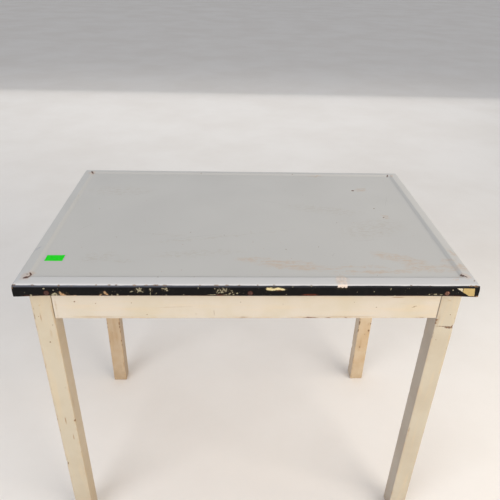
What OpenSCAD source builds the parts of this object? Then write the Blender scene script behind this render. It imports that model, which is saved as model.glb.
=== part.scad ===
// Enamel-topped work table: a pressed, vitreous-enamelled steel top with a raised rim and a
// deep skirt, screwed round its edge to a wooden top frame, on a painted mortise-and-tenon
// underframe with four straight square legs.
// Millimetres. X runs left to right, Y front to back, Z up.
// The origin is on the floor, under the middle of the top.

/* [Overall size] */
// Width of the enamel top, left to right
table_w = 914; // [760:1:1200]
// Depth of the enamel top, front to back
table_d = 600; // [500:1:760]
// Height from the floor to the crest of the raised rim
table_h = 762; // [600:1:920]

/* [Enamel top] */
// Thickness of the enamelled sheet
sheet_t = 1.2; // [0.8:0.1:1.6]
// Depth of the skirt below the outer edge
skirt_h = 27; // [24:0.5:40]
// Outside radius of the roll between the rim and the skirt
edge_r = 5; // [2:0.5:8]
// Radius of the skirt's corners in plan
corner_r = 4; // [3:0.5:10]
// Outside radius of the curl along the bottom of the skirt
curl_r = 2; // [1.8:0.1:2.5]
// Width of the outer slope of the rim
rim_w = 22; // [14:1:34]
// Rise of the outer slope, from the outer edge to the crest
rim_rise = 3; // [2:0.5:5]
// Width of the inner slope, from the crest to the flat panel
slope_w = 8; // [6:1:16]
// Drop of the inner slope, from the crest to the flat panel
panel_drop = 3; // [2:0.5:4]

/* [Top frame] */
// Thickness of the core board under the panel
core_t = 12; // [9:0.5:15]
// Gap between the core board's edge and the inner end of the roll, in plan
core_gap = 0.5; // [0.5:0.5:4]
// Width of the four edge battens
batten_w = 45; // [38:1:70]
// Gap between the battens and the inside of the skirt
batten_gap = 1; // [1:0.1:2]
// How far the skirt hangs below the battens
skirt_lip = 0.8; // [0.4:0.1:2]
// Width of the bearer across the middle
bearer_w = 45; // [30:1:80]

/* [Underframe] */
// Side of the square legs
leg_s = 42; // [35:1:56]
// Radius of the legs' long arrises
leg_arris_r = 1.5; // [0.5:0.5:4]
// Overhang of the top past the legs at the left and right
side_overhang = 17; // [8:1:24]
// Overhang of the top past the legs at the front and back
front_overhang = 26; // [14:1:30]
// Height of the rails
rail_h = 75; // [60:1:110]
// Thickness of the rails
rail_t = 20; // [16:1:24]
// Opening at each shoulder of the front rail, where the joint has dried out
front_shoulder_gap = 1.5; // [0:0.1:3]
// Opening at each shoulder of the other three rails
shoulder_gap = 0.4; // [0:0.1:2]

/* [Joints] */
// Thickness of the tenons
tenon_t = 9; // [6:0.5:11]
// Shoulder above and below each tenon
tenon_shoulder = 10; // [5:1:18]
// Wood left between the two mortises of a leg
mortise_wall = 2.5; // [1.5:0.5:6]
// Clearance between the end of a tenon and the bottom of its mortise
mortise_end_gap = 1; // [0.5:0.5:3]
// Clearance above, below and beside a tenon in its mortise
mortise_fit = 0.1; // [0:0.05:0.5]
// Thickness of the corner blocks, across the corner
block_t = 25; // [20:1:36]
// Height of the corner blocks
block_h = 50; // [35:1:58]
// Gap between a corner block and the leg's inner arris
block_leg_gap = 1; // [0.5:0.5:5]
// Distance of the corner blocks below the top of the rails
block_drop = 2; // [0:1:8]

/* [Screws] */
// Shank diameter of every screw
screw_d = 4; // [3:0.5:5]
// Clearance round a screw in its pilot hole
screw_fit = 0.05; // [0:0.05:0.2]
// Head diameter of the round-head screws
round_head_d = 9; // [7:0.2:9.4]
// Head height of the round-head screws
round_head_h = 1.8; // [1.4:0.1:3]
// Head diameter of the flat-head screws
flat_head_d = 7.6; // [6:0.2:9]
// Length of the skirt screws under the head
skirt_screw_l = 20; // [14:1:32]
// Distance of the end skirt screws from the corners of the top
skirt_screw_inset = 63; // [40:1:120]
// Screws along the front and back of the skirt
skirt_screws_long = 3; // [2:1:5]
// Screws along the left and right of the skirt
skirt_screws_short = 2; // [2:1:4]
// How far the flat-head screws through the battens and the bearer reach into the core board
batten_screw_bite = 7; // [4:0.5:8]
// How far the pocket screws, which hold the top to the rails, reach into the core board
pocket_screw_bite = 2.5; // [1:0.5:6]
// Lean of the pocket screws from upright, in degrees
pocket_lean = 15; // [10:1:18]
// Distance from the rail's top to a pocket screw's seat, along the screw
pocket_seat = 24; // [20:1:30]
// Diameter of the pocket bores and of the corner blocks' counterbores
counterbore_d = 10; // [9:0.5:12]
// Length under the head of the corner block screws
corner_screw_l = 26; // [20:1:30]

/* [Hidden] */
$fn = 48;
cut = 1;                         // how far a cutter runs past a face
slot_w = 1;                      // screwdriver slot
slot_depth = 0.9;
tip_l = 4;                       // pointed end of a screw
tip_d = 0.8;
flat_head_h = (flat_head_d - screw_d) / 2;
foot_chamfer = 1.5;

// Heights
edge_z = table_h - rim_rise;
panel_z = table_h - panel_drop;
skirt_z = edge_z - skirt_h;
frame_top = skirt_z + skirt_lip;
core_top = panel_z - sheet_t;
core_z = core_top - core_t;
batten_t = core_z - frame_top;
batten_mid = frame_top + batten_t / 2;
rail_z = frame_top - rail_h;
tenon_z = rail_z + tenon_shoulder;
tenon_h = rail_h - 2 * tenon_shoulder;
block_z = frame_top - block_drop - block_h;
corner_screw_z = block_z + block_h / 2;

// Screw lengths that follow the battens
batten_screw_l = batten_t + batten_screw_bite;
pocket_screw_l = pocket_seat + (batten_t + pocket_screw_bite) / cos(pocket_lean);

// Slopes of the rim
rim_angle = atan(rim_rise / rim_w);
slope_angle = atan(panel_drop / slope_w);

// Plan positions, from the outer edge of the top or the outer corner of a leg
batten_in = sheet_t + batten_gap;
core_in = edge_r + core_gap;
batten_inner = batten_in + batten_w;
tenon_in = (rail_t - tenon_t) / 2;
tenon_l = leg_s - tenon_in - tenon_t - mortise_wall - mortise_end_gap;
block_near = 2 * leg_s + block_leg_gap * sqrt(2);
block_far = block_near + block_t * sqrt(2);
corner_screw_u = (block_near + block_far) / 2 - rail_t;
corner_seat_v = block_far - corner_screw_u - counterbore_d / 2 - round_head_h;

// Sides are numbered round the table: 0 front, 1 right, 2 back, 3 left
FRONT = 0;
RIGHT = 1;
BACK = 2;
LEFT = 3;
function is_long(side) = side % 2 == 0;
function edge_length(side) = is_long(side) ? table_w : table_d;
function across(side) = is_long(side) ? table_d : table_w;
function overhang(side) = is_long(side) ? front_overhang : side_overhang;
function end_overhang(side) = is_long(side) ? side_overhang : front_overhang;
function clear_span(side) = edge_length(side) - 2 * (end_overhang(side) + leg_s);
// Evenly spaced places, centred on zero, with the end ones half a span out
function spread(count, span) = [for (i = [0:count - 1]) -span / 2 + i * span / (count - 1)];
function skirt_places(side) =
    spread(is_long(side) ? skirt_screws_long : skirt_screws_short,
           edge_length(side) - 2 * skirt_screw_inset);
// Batten screws come between the skirt screws of the long sides, and inside those of the short
function batten_places(side) =
    is_long(side)
    ? spread(4, 0.75 * (edge_length(side) - 2 * skirt_screw_inset))
    : spread(3, 0.5 * (edge_length(side) - 2 * skirt_screw_inset));
function pocket_places(side) =
    is_long(side) ? spread(3, 0.66 * clear_span(side)) : spread(2, 0.4 * clear_span(side));
function bearer_places() = spread(3, 0.6 * (table_d - 2 * batten_inner));

CREAM = "antiquewhite";
BARE_WOOD = "burlywood";
RUSTY = "saddlebrown";
STEEL = "dimgray";

// ---- Places ----

// Side frame: x along the side, y inward from the top's outer edge
module on_side(side) {
    rotate([0, 0, 90 * side])
        translate([0, -across(side) / 2, 0])
            children();
}

// Corner frame: origin on a leg's outer corner, x and y pointing inward
module at_corner(x_sign, y_sign) {
    mirror([x_sign > 0 ? 1 : 0, 0, 0])
        mirror([0, y_sign > 0 ? 1 : 0, 0])
            translate([side_overhang - table_w / 2, front_overhang - table_d / 2, 0])
                children();
}

// ---- Shared shapes ----

module rounded_rect(w, d, r) {
    square([w - 2 * r, d], center = true);
    square([w, d - 2 * r], center = true);
    for (x = [-1, 1], y = [-1, 1])
        translate([x * (w / 2 - r), y * (d / 2 - r)]) circle(r);
}

// Upright prism with the plan of the skirt, moved in by inset
module plan_prism(inset, z_low, z_high) {
    translate([0, 0, z_low])
        linear_extrude(z_high - z_low)
            rounded_rect(table_w - 2 * inset, table_d - 2 * inset, max(corner_r - inset, 0.5));
}

// Head and shank of a wood screw: the head points along +Z and its seat is at z = 0
module round_screw(length) {
    r = round_head_d / 2;
    ball_r = (r * r + round_head_h * round_head_h) / (2 * round_head_h);
    difference() {
        intersection() {
            translate([0, 0, round_head_h - ball_r]) sphere(ball_r);
            cylinder(h = round_head_h + cut, r = r + cut);
        }
        translate([-slot_w / 2, -r - cut, round_head_h - slot_depth])
            cube([slot_w, 2 * (r + cut), slot_depth + cut]);
    }
    screw_shank(length, 0);
}

module screw_shank(length, grow) {
    translate([0, 0, tip_l - length])
        cylinder(h = length - tip_l, d = screw_d + 2 * grow);
    translate([0, 0, -length - grow])
        cylinder(h = tip_l + grow, d1 = tip_d + 2 * grow, d2 = screw_d + 2 * grow);
}

// Flat-head screw with the top of its head at z = 0
module flat_screw(length, grow) {
    translate([0, 0, -flat_head_h])
        cylinder(h = flat_head_h, d1 = screw_d + 2 * grow, d2 = flat_head_d + 2 * grow);
    screw_shank(length, grow);
}

// ---- Enamel top ----

// Outline of the pressing across a width w, moved in by inset
module pressing_section(w, inset) {
    half = w / 2 - inset;
    low = skirt_z + inset;
    crest = table_h - inset;
    shoulder = edge_z + inset * tan(rim_angle) - inset / cos(rim_angle);
    run = (crest - shoulder) / tan(rim_angle);
    roll = edge_r - inset;
    curl = curl_r - inset;
    difference() {
        polygon([[-half, low], [half, low], [half, shoulder], [half - run, crest],
                 [run - half, crest], [-half, shoulder]]);
        for (side = [0, 1])
            mirror([side, 0])
                translate([half, 0]) {
                    roll_waste(shoulder, roll);
                    translate([-curl, low]) curl_waste(curl);
                }
    }
}

// What is cut off to round the shoulder between the skirt and the sloping rim
module roll_waste(shoulder, r) {
    middle = shoulder + r * tan(rim_angle) - r / cos(rim_angle);
    top = middle + r * cos(rim_angle);
    difference() {
        polygon([[-r, middle], [cut, middle], [cut, top + cut],
                 [-r + r * sin(rim_angle) - cut * sin(rim_angle), top + cut],
                 [-r + r * sin(rim_angle), top]]);
        translate([-r, middle]) circle(r);
    }
}

// What is cut off to round the bottom arris of the skirt
module curl_waste(r) {
    difference() {
        translate([0, -cut]) square([r + cut, r + cut]);
        translate([0, r]) circle(r);
    }
}

// Outer form of the pressing, moved in by inset, with the rim's slopes mitred at the corners
module pressing_form(inset) {
    intersection() {
        rotate([90, 0, 0])
            linear_extrude(table_d + 2 * cut, center = true)
                pressing_section(table_w, inset);
        rotate([90, 0, 90])
            linear_extrude(table_w + 2 * cut, center = true)
                pressing_section(table_d, inset);
        plan_prism(inset, skirt_z - cut, table_h + cut);
    }
}

// Section of the recess inside the crest; grow gives the underside of the sheet
module recess_section(w, grow) {
    low = panel_z - grow;
    high = table_h + cut;
    foot = w / 2 - rim_w - slope_w + (grow / cos(slope_angle) - grow) / tan(slope_angle);
    mouth = foot + (high - low) / tan(slope_angle);
    polygon([[-foot, low], [foot, low], [mouth, high], [-mouth, high]]);
}

module recess(grow) {
    intersection() {
        rotate([90, 0, 0])
            linear_extrude(table_d + 2 * cut, center = true)
                recess_section(table_w, grow);
        rotate([90, 0, 90])
            linear_extrude(table_w + 2 * cut, center = true)
                recess_section(table_d, grow);
    }
}

module enamel_top() {
    color("whitesmoke")
        difference() {
            pressing_form(0);
            recess(0);
            difference() {
                pressing_form(sheet_t);
                recess(sheet_t);
            }
            plan_prism(curl_r, skirt_z - cut, skirt_z + curl_r);
            for (side = [FRONT:LEFT])
                place_skirt_screws(side)
                    translate([0, 0, -sheet_t - cut])
                        cylinder(h = sheet_t + 2 * cut, d = screw_d + 4 * screw_fit);
        }
}

// ---- Wooden top frame ----

module core_board() {
    color(BARE_WOOD)
        difference() {
            plan_prism(core_in, core_z, core_top);
            for (side = [FRONT:LEFT]) {
                place_batten_screws(side) flat_screw(batten_screw_l, screw_fit);
                place_pocket_screws(side) screw_shank(pocket_screw_l, screw_fit);
            }
            place_bearer_screws() flat_screw(batten_screw_l, screw_fit);
        }
}

// Edge batten: the long ones run through, the short ones fit between them
module batten(side) {
    half = edge_length(side) / 2 - (is_long(side) ? batten_in : batten_inner);
    color(BARE_WOOD)
        difference() {
            intersection() {
                on_side(side)
                    translate([-half, batten_in, frame_top])
                        cube([2 * half, batten_w, batten_t]);
                plan_prism(batten_in, frame_top - cut, core_z + cut);
            }
            place_skirt_screws(side) screw_shank(skirt_screw_l, screw_fit);
            place_batten_screws(side) flat_screw(batten_screw_l, screw_fit);
            place_pocket_screws(side) screw_shank(pocket_screw_l, screw_fit);
        }
}

module centre_bearer() {
    depth = table_d - 2 * batten_inner;
    color(BARE_WOOD)
        difference() {
            translate([-bearer_w / 2, -depth / 2, frame_top])
                cube([bearer_w, depth, batten_t]);
            place_bearer_screws() flat_screw(batten_screw_l, screw_fit);
        }
}

// ---- Underframe ----

module leg(x_sign, y_sign) {
    color(CREAM)
        at_corner(x_sign, y_sign)
            difference() {
                leg_bar();
                mortise();
                mirror([1, -1, 0]) mortise();
            }
}

module leg_bar() {
    translate([leg_s / 2, leg_s / 2, 0]) {
        translate([0, 0, foot_chamfer])
            linear_extrude(frame_top - foot_chamfer)
                rounded_rect(leg_s, leg_s, leg_arris_r);
        intersection() {
            linear_extrude(foot_chamfer) rounded_rect(leg_s, leg_s, leg_arris_r);
            foot_wedge();
            rotate([0, 0, 90]) foot_wedge();
        }
    }
}

module foot_wedge() {
    top = leg_s / 2;
    toe = top - foot_chamfer;
    rotate([90, 0, 0])
        linear_extrude(leg_s + 2 * cut, center = true)
            polygon([[-toe, 0], [toe, 0], [top, foot_chamfer], [-top, foot_chamfer]]);
}

// Mortise for the front or back rail, cut into the leg's inner side
module mortise() {
    depth = tenon_l + mortise_end_gap;
    translate([leg_s - depth, tenon_in - mortise_fit, tenon_z - mortise_fit])
        cube([depth + cut, tenon_t + 2 * mortise_fit, tenon_h + 2 * mortise_fit]);
}

module rail(side, gap) {
    half = clear_span(side) / 2;
    color(CREAM)
        difference() {
            on_side(side)
                translate([0, overhang(side), 0]) {
                    translate([gap - half, 0, rail_z])
                        cube([2 * (half - gap), rail_t, rail_h]);
                    translate([-half - tenon_l, tenon_in, tenon_z])
                        cube([2 * (half + tenon_l), tenon_t, tenon_h]);
                }
            place_pocket_screws(side) {
                screw_shank(pocket_screw_l, screw_fit);
                cylinder(h = 3 * rail_t, d = counterbore_d);
            }
            for (x = [-1, 1], y = [-1, 1])
                place_corner_screws(x, y) screw_shank(corner_screw_l, screw_fit);
        }
}

// Block across a corner, bearing on the inner faces of both rails
module corner_block(x_sign, y_sign) {
    color(BARE_WOOD)
        difference() {
            at_corner(x_sign, y_sign)
                translate([0, 0, block_z])
                    linear_extrude(block_h)
                        polygon([[block_near - rail_t, rail_t], [block_far - rail_t, rail_t],
                                 [rail_t, block_far - rail_t], [rail_t, block_near - rail_t]]);
            place_corner_screws(x_sign, y_sign) {
                screw_shank(corner_screw_l, screw_fit);
                cylinder(h = 2 * block_t, d = counterbore_d);
            }
        }
}

// ---- Screws: each place_ module puts a screw's seat at z = 0 with its head along +Z ----

module place_skirt_screws(side) {
    for (x = skirt_places(side))
        on_side(side)
            translate([x, 0, batten_mid])
                rotate([90, 0, 0])
                    children();
}

module place_batten_screws(side) {
    for (x = batten_places(side))
        on_side(side)
            translate([x, (batten_in + overhang(side)) / 2, frame_top])
                rotate([180, 0, 0])
                    children();
}

module place_bearer_screws() {
    for (y = bearer_places())
        translate([0, y, frame_top])
            rotate([180, 0, 0])
                children();
}

module place_pocket_screws(side) {
    for (x = pocket_places(side))
        on_side(side)
            translate([x, overhang(side) + rail_t / 2, frame_top])
                rotate([180 + pocket_lean, 0, 0])
                    translate([0, 0, pocket_seat])
                        children();
}

// Two screws a corner, one into each rail
module place_corner_screws(x_sign, y_sign) {
    at_corner(x_sign, y_sign)
        for (swap = [0, 1])
            mirror([swap, -swap, 0])
                translate([corner_screw_u, corner_seat_v, corner_screw_z])
                    rotate([-90, 0, 0])
                        children();
}

module skirt_screws(side) {
    color(RUSTY) place_skirt_screws(side) round_screw(skirt_screw_l);
}

module batten_screws(side) {
    color(STEEL) place_batten_screws(side) flat_screw(batten_screw_l, 0);
}

module bearer_screws() {
    color(STEEL) place_bearer_screws() flat_screw(batten_screw_l, 0);
}

module pocket_screws(side) {
    color(STEEL) place_pocket_screws(side) round_screw(pocket_screw_l);
}

module corner_screws(x_sign, y_sign) {
    color(STEEL) place_corner_screws(x_sign, y_sign) round_screw(corner_screw_l);
}

enamel_top();
core_board();
batten(FRONT);  // batten_front
batten(RIGHT);  // batten_right
batten(BACK);  // batten_back
batten(LEFT);  // batten_left
centre_bearer();
leg(-1, -1);  // leg_front_left
leg(1, -1);  // leg_front_right
leg(-1, 1);  // leg_back_left
leg(1, 1);  // leg_back_right
rail(FRONT, front_shoulder_gap);  // rail_front
rail(RIGHT, shoulder_gap);  // rail_right
rail(BACK, shoulder_gap);  // rail_back
rail(LEFT, shoulder_gap);  // rail_left
corner_block(-1, -1);  // corner_block_front_left
corner_block(1, -1);  // corner_block_front_right
corner_block(-1, 1);  // corner_block_back_left
corner_block(1, 1);  // corner_block_back_right
skirt_screws(FRONT);  // skirt_screws_front
skirt_screws(RIGHT);  // skirt_screws_right
skirt_screws(BACK);  // skirt_screws_back
skirt_screws(LEFT);  // skirt_screws_left
batten_screws(FRONT);  // batten_screws_front
batten_screws(RIGHT);  // batten_screws_right
batten_screws(BACK);  // batten_screws_back
batten_screws(LEFT);  // batten_screws_left
bearer_screws();
pocket_screws(FRONT);  // pocket_screws_front
pocket_screws(RIGHT);  // pocket_screws_right
pocket_screws(BACK);  // pocket_screws_back
pocket_screws(LEFT);  // pocket_screws_left
corner_screws(-1, -1);  // corner_screws_front_left
corner_screws(1, -1);  // corner_screws_front_right
corner_screws(-1, 1);  // corner_screws_back_left
corner_screws(1, 1);  // corner_screws_back_right
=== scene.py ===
"""Enamel-topped work table: an old kitchen bench with a white enamel top, black skirt and cream legs.

Metres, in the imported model's frame: X left to right, Y front to back, Z up, floor at 0.
"""
import math

import bmesh
import bpy
from mathutils import Matrix, Vector, noise


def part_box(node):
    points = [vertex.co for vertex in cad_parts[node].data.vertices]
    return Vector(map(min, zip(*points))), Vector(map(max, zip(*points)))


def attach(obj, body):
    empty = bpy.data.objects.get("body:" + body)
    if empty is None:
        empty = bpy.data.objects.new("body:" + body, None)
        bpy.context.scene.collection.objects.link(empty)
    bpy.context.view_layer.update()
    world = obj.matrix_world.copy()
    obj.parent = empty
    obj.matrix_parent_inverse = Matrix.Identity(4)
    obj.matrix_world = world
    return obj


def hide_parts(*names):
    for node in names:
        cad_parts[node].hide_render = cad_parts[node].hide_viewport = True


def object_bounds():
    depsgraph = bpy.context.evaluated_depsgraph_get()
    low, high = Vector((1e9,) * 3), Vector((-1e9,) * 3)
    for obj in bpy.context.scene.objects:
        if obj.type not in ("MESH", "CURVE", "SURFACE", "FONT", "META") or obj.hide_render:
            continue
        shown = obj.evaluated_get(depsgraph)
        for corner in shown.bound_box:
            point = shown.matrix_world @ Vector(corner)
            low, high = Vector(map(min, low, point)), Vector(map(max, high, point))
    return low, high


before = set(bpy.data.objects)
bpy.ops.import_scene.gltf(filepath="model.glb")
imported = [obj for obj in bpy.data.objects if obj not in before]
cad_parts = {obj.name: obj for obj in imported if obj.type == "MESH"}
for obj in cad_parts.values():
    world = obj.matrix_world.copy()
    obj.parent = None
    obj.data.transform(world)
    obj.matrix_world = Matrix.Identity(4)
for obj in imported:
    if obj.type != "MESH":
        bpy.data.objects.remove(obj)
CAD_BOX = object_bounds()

MM = 0.001

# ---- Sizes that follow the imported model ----

TOP_LOW, TOP_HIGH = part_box("enamel_top")
HALF_W = TOP_HIGH.x
HALF_D = TOP_HIGH.y
CREST_Z = TOP_HIGH.z
SKIRT_Z = TOP_LOW.z

# Section of the pressing, as the CAD has it
RIM_W = 22 * MM
SLOPE_W = 8 * MM
RIM_RISE = 3 * MM
ROLL_R = 5 * MM
CURL_R = 2 * MM
SHEET_T = 1.2 * MM
EDGE_Z = CREST_Z - RIM_RISE
PANEL_Z = EDGE_Z

# Its corners are folded tighter than in the CAD, kick outward and hang a little lower
CORNER_R = 1.8 * MM
KICK = 1.5 * MM
DROOP = 1.7 * MM

# How far the pressing strays from flat: its skirt, the skirt's lower edge and the panel
SKIRT_WAVE = 0.3 * MM
HEM_WAVE = 0.45 * MM
PANEL_WAVE = 0.16 * MM

# ---- Small helpers ----


def srgb(red, green, blue):
    """A colour given as 0 to 255 screen values, as linear RGBA."""
    def linear(value):
        share = value / 255
        return share / 12.92 if share <= 0.04045 else ((share + 0.055) / 1.055) ** 2.4
    return (linear(red), linear(green), linear(blue), 1.0)


def wave(x, y, seed):
    """Smooth noise from -1 to 1."""
    return noise.noise(Vector((x, y, 7.31 * seed)))


def add_object(name, mesh):
    thing = bpy.data.objects.new(name, mesh)
    bpy.context.scene.collection.objects.link(thing)
    return thing


def smooth_object(name, mesh):
    """A smooth-shaded object made from a closed bmesh, its faces turned outward."""
    bmesh.ops.recalc_face_normals(mesh, faces=mesh.faces)
    data = bpy.data.meshes.new(name)
    mesh.to_mesh(data)
    mesh.free()
    data.polygons.foreach_set("use_smooth", [True] * len(data.polygons))
    return add_object(name, data)


# ---- Shader building ----


class Shader:
    """A material's node tree, built with short calls. Inputs are sockets or plain values."""

    def __init__(self, name):
        self.material = bpy.data.materials.new(name)
        self.material.use_nodes = True
        self.tree = self.material.node_tree
        self.tree.nodes.clear()
        self.output = self.tree.nodes.new("ShaderNodeOutputMaterial")
        self.surface = self.tree.nodes.new("ShaderNodeBsdfPrincipled")
        self.tree.links.new(self.surface.outputs[0], self.output.inputs["Surface"])
        self.place = self.tree.nodes.new("ShaderNodeTexCoord").outputs["Object"]

    def put(self, socket, value):
        if isinstance(value, bpy.types.NodeSocket):
            self.tree.links.new(value, socket)
        else:
            socket.default_value = value

    def node(self, kind, *values, **settings):
        made = self.tree.nodes.new(kind)
        for key, value in settings.items():
            setattr(made, key, value)
        for socket, value in zip(made.inputs, values):
            if value is not None:
                self.put(socket, value)
        return made

    def math(self, operation, a, b=0.0, c=0.0):
        return self.node("ShaderNodeMath", a, b, c, operation=operation).outputs[0]

    def times(self, a, b):
        return self.math("MULTIPLY", a, b)

    def plus(self, a, b):
        return self.math("ADD", a, b)

    def most(self, masks):
        total = masks[0]
        for mask in masks[1:]:
            total = self.math("MAXIMUM", total, mask)
        return total

    def step(self, value, low, high, to_low=0.0, to_high=1.0):
        """Smooth ramp of value, from to_low at low to to_high at high."""
        made = self.node("ShaderNodeMapRange", value, low, high, to_low, to_high,
                         interpolation_type="SMOOTHSTEP")
        return made.outputs[0]

    def noise(self, vector, scale, detail=2.0, roughness=0.5, color=False):
        made = self.node("ShaderNodeTexNoise")
        self.put(made.inputs["Vector"], vector)
        made.inputs["Scale"].default_value = scale
        made.inputs["Detail"].default_value = detail
        made.inputs["Roughness"].default_value = roughness
        return made.outputs["Color" if color else "Fac"]

    def cells(self, vector, scale):
        made = self.node("ShaderNodeTexVoronoi")
        self.put(made.inputs["Vector"], vector)
        made.inputs["Scale"].default_value = scale
        return made.outputs["Distance"]

    def vector(self, operation, a, b):
        return self.node("ShaderNodeVectorMath", a, b, operation=operation).outputs[0]

    def stretch(self, vector, scale):
        return self.vector("MULTIPLY", vector, scale)

    def ragged(self, scale, roughness):
        """A ragged shift of position, from -0.5 to 0.5 each way."""
        field = self.noise(self.place, scale, 2, roughness, color=True)
        return self.vector("SUBTRACT", field, (0.5, 0.5, 0.5))

    def gap(self, a, b):
        """How far two numbers lie apart."""
        return self.math("ABSOLUTE", self.math("SUBTRACT", a, b))

    def split(self, vector):
        return self.node("ShaderNodeSeparateXYZ", vector).outputs

    def join(self, x, y, z=0.0):
        return self.node("ShaderNodeCombineXYZ", x, y, z).outputs[0]

    def blend(self, share, a, b):
        """Colour a where share is 0, b where it is 1."""
        made = self.node("ShaderNodeMix", data_type="RGBA")
        self.put(made.inputs["Factor"], share)
        self.put(made.inputs["A"], a)
        self.put(made.inputs["B"], b)
        return made.outputs["Result"]

    def over(self, color, mask, share, coat):
        """A colour with a coat laid over it: share of the coat where the mask is 1."""
        return self.blend(self.times(mask, share), color, coat)

    def mixed(self, share, a, b):
        """Number a where share is 0, b where it is 1."""
        made = self.node("ShaderNodeMix", data_type="FLOAT")
        self.put(made.inputs["Factor"], share)
        self.put(made.inputs["A"], a)
        self.put(made.inputs["B"], b)
        return made.outputs["Result"]

    def reach(self, plane, marks):
        """Squared distance to the nearest mark: 1 on its outline, less inside. Marks are ellipses
        given as x, y, half length, half width and angle, in millimetres and degrees."""
        nearest = None
        for x, y, rx, ry, angle in marks:
            c, n = math.cos(math.radians(angle)), math.sin(math.radians(angle))
            p = self.slant(plane, c / rx, n / rx, -(x * c + y * n) / rx)
            q = self.slant(plane, -n / ry, c / ry, (x * n - y * c) / ry)
            far = self.math("MULTIPLY_ADD", p, p, self.times(q, q))
            nearest = far if nearest is None else self.math("MINIMUM", nearest, far)
        return nearest

    def slant(self, plane, a, b, c):
        """a * u + b * v + c for a plane (u, v) in metres and factors in millimetres."""
        value = c
        for axis, factor in zip(plane, (a, b)):
            if abs(factor) > 1e-9:
                value = self.math("MULTIPLY_ADD", axis, factor / MM, value)
        return value

    def blots(self, plane, marks, soft=0.25):
        return self.step(self.reach(plane, marks), (1 + soft) ** 2, (1 - soft) ** 2)

    def bump(self, height, distance, normal=None):
        made = self.node("ShaderNodeBump")
        made.inputs["Strength"].default_value = 1.0
        made.inputs["Distance"].default_value = distance
        self.put(made.inputs["Height"], height)
        if normal is not None:
            self.put(made.inputs["Normal"], normal)
        return made.outputs[0]

    def finish(self, color, roughness, normal=None, metallic=0.0, specular=0.5):
        self.put(self.surface.inputs["Base Color"], color)
        self.put(self.surface.inputs["Roughness"], roughness)
        self.put(self.surface.inputs["Metallic"], metallic)
        self.put(self.surface.inputs["Specular IOR Level"], specular)
        if normal is not None:
            self.put(self.surface.inputs["Normal"], normal)
        return self.material


# ---- Enamel: where the marks are, in millimetres from the middle of the top ----

# Corner chips down to the rusted steel: x, y, half length, half width, angle
CORNER_RUST = [
    (-431.5, -265, 4.6, 1.7, -60), (-430.5, -272.5, 3, 1.8, 80),
    (-435, -278.5, 5.6, 3.4, 22), (-437, -267, 2.6, 0.9, -15),
    (431.5, -264.5, 2.8, 1.8, 55), (433.5, -269.5, 3.6, 2.4, -50), (438, -273, 2.4, 1.7, -40),
    (-433, 274.5, 8.6, 2.1, -60), (422.5, 272.5, 6.4, 1.7, 68),
]
CORNER_STAIN = [
    (-426.5, 276, 7.5, 2.2, -86), (432, 273.5, 4, 4.5, 0), (437.5, 275, 4.5, 1.8, 60),
    (-436, -271, 9.5, 11.5, 0), (438, -268, 8.5, 9.5, 0), (420, -272, 4, 1.8, 50),
    (412, -282, 3.5, 2, 55), (-433, 270, 7, 9, 0),
]
# Small chips and flecks on the white
TOP_SPOTS = [
    (298, 165, 3.6, 3, 20), (329, 52, 1.8, 1.4, 0), (341, 1, 2, 1.5, 40), (83, -160, 1.2, 1, 0),
    (156, -148, 1, 1, 0), (-182, -276, 1.6, 0.9, 0), (-110, -276, 1.4, 0.9, 0),
    (-122, 277, 1.8, 0.8, 80), (143, 276, 1.8, 0.8, 80), (450, -286, 2.2, 1.2, 50),
    (-294, -108, 0.9, 0.9, 0), (-214, -92, 0.8, 0.8, 0), (-130, -84, 0.9, 0.8, 0),
    (-52, -97, 0.8, 0.8, 0), (12, -128, 0.9, 0.9, 0), (218, -30, 0.9, 0.8, 0), (-362, 38, 0.9, 0.8, 0),
]
# Rubbed, peach-brown stains
TOP_STAINS = [
    (20, -206, 36, 9, -4), (78, -222, 58, 15, -8), (132, -238, 34, 9, 0), (183, -233, 92, 4, 0),
    (258, -252, 76, 6, 2), (322, -198, 46, 14, -22), (352, -228, 26, 18, 30), (404, -237, 52, 11, 0),
    (182, -284, 10, 17, 0), (322, 174, 14, 8, 24), (207, 268, 16, 3, 0), (426, -209, 14, 8, 0),
    (447, -176, 5, 15, 18), (446, -228, 7, 9, -20), (346, 4, 7, 12, 16),
]
# Fainter, greyer smudges
TOP_SMUDGES = [
    (-312, -197, 26, 14, 10), (-262, -212, 18, 6, 0), (-330, 150, 60, 22, 0), (-110, -180, 70, 10, 6),
    (300, -60, 60, 30, 20), (200, 40, 70, 16, -12), (-60, -104, 120, 3, 12), (-210, -92, 60, 2.6, -8),
]
# Scratches: long thin marks
TOP_SCRATCHES = [
    (183, -182, 7, 0.6, 62), (-128, -108, 60, 0.5, 14), (64, 88, 46, 0.4, -21), (-262, 142, 38, 0.4, 34),
    (266, -118, 32, 0.5, 8), (-20, 196, 52, 0.4, -6), (372, 96, 30, 0.4, 71), (-372, -58, 26, 0.4, 52),
]
PEN_TICK = [(-449, -163, 8.6, 0.7, 62)]
# The pale paint that has run over the front edge lies between these
SMEAR_LEFT = 171
SMEAR_RIGHT = 191.6

# ---- Enamel: marks on the front skirt, x and height below the top's edge ----

# Where the skirt's screws are: along the front and back, and along the sides
SKIRT_SCREW_X = [-394, 0, 394]
HEAD_R = 4.5 * MM
SIDE_LOW, SIDE_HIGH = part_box("skirt_screws_left")
SIDE_SCREW_Y = [(SIDE_LOW.y + HEAD_R) / MM, (SIDE_HIGH.y - HEAD_R) / MM]

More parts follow.
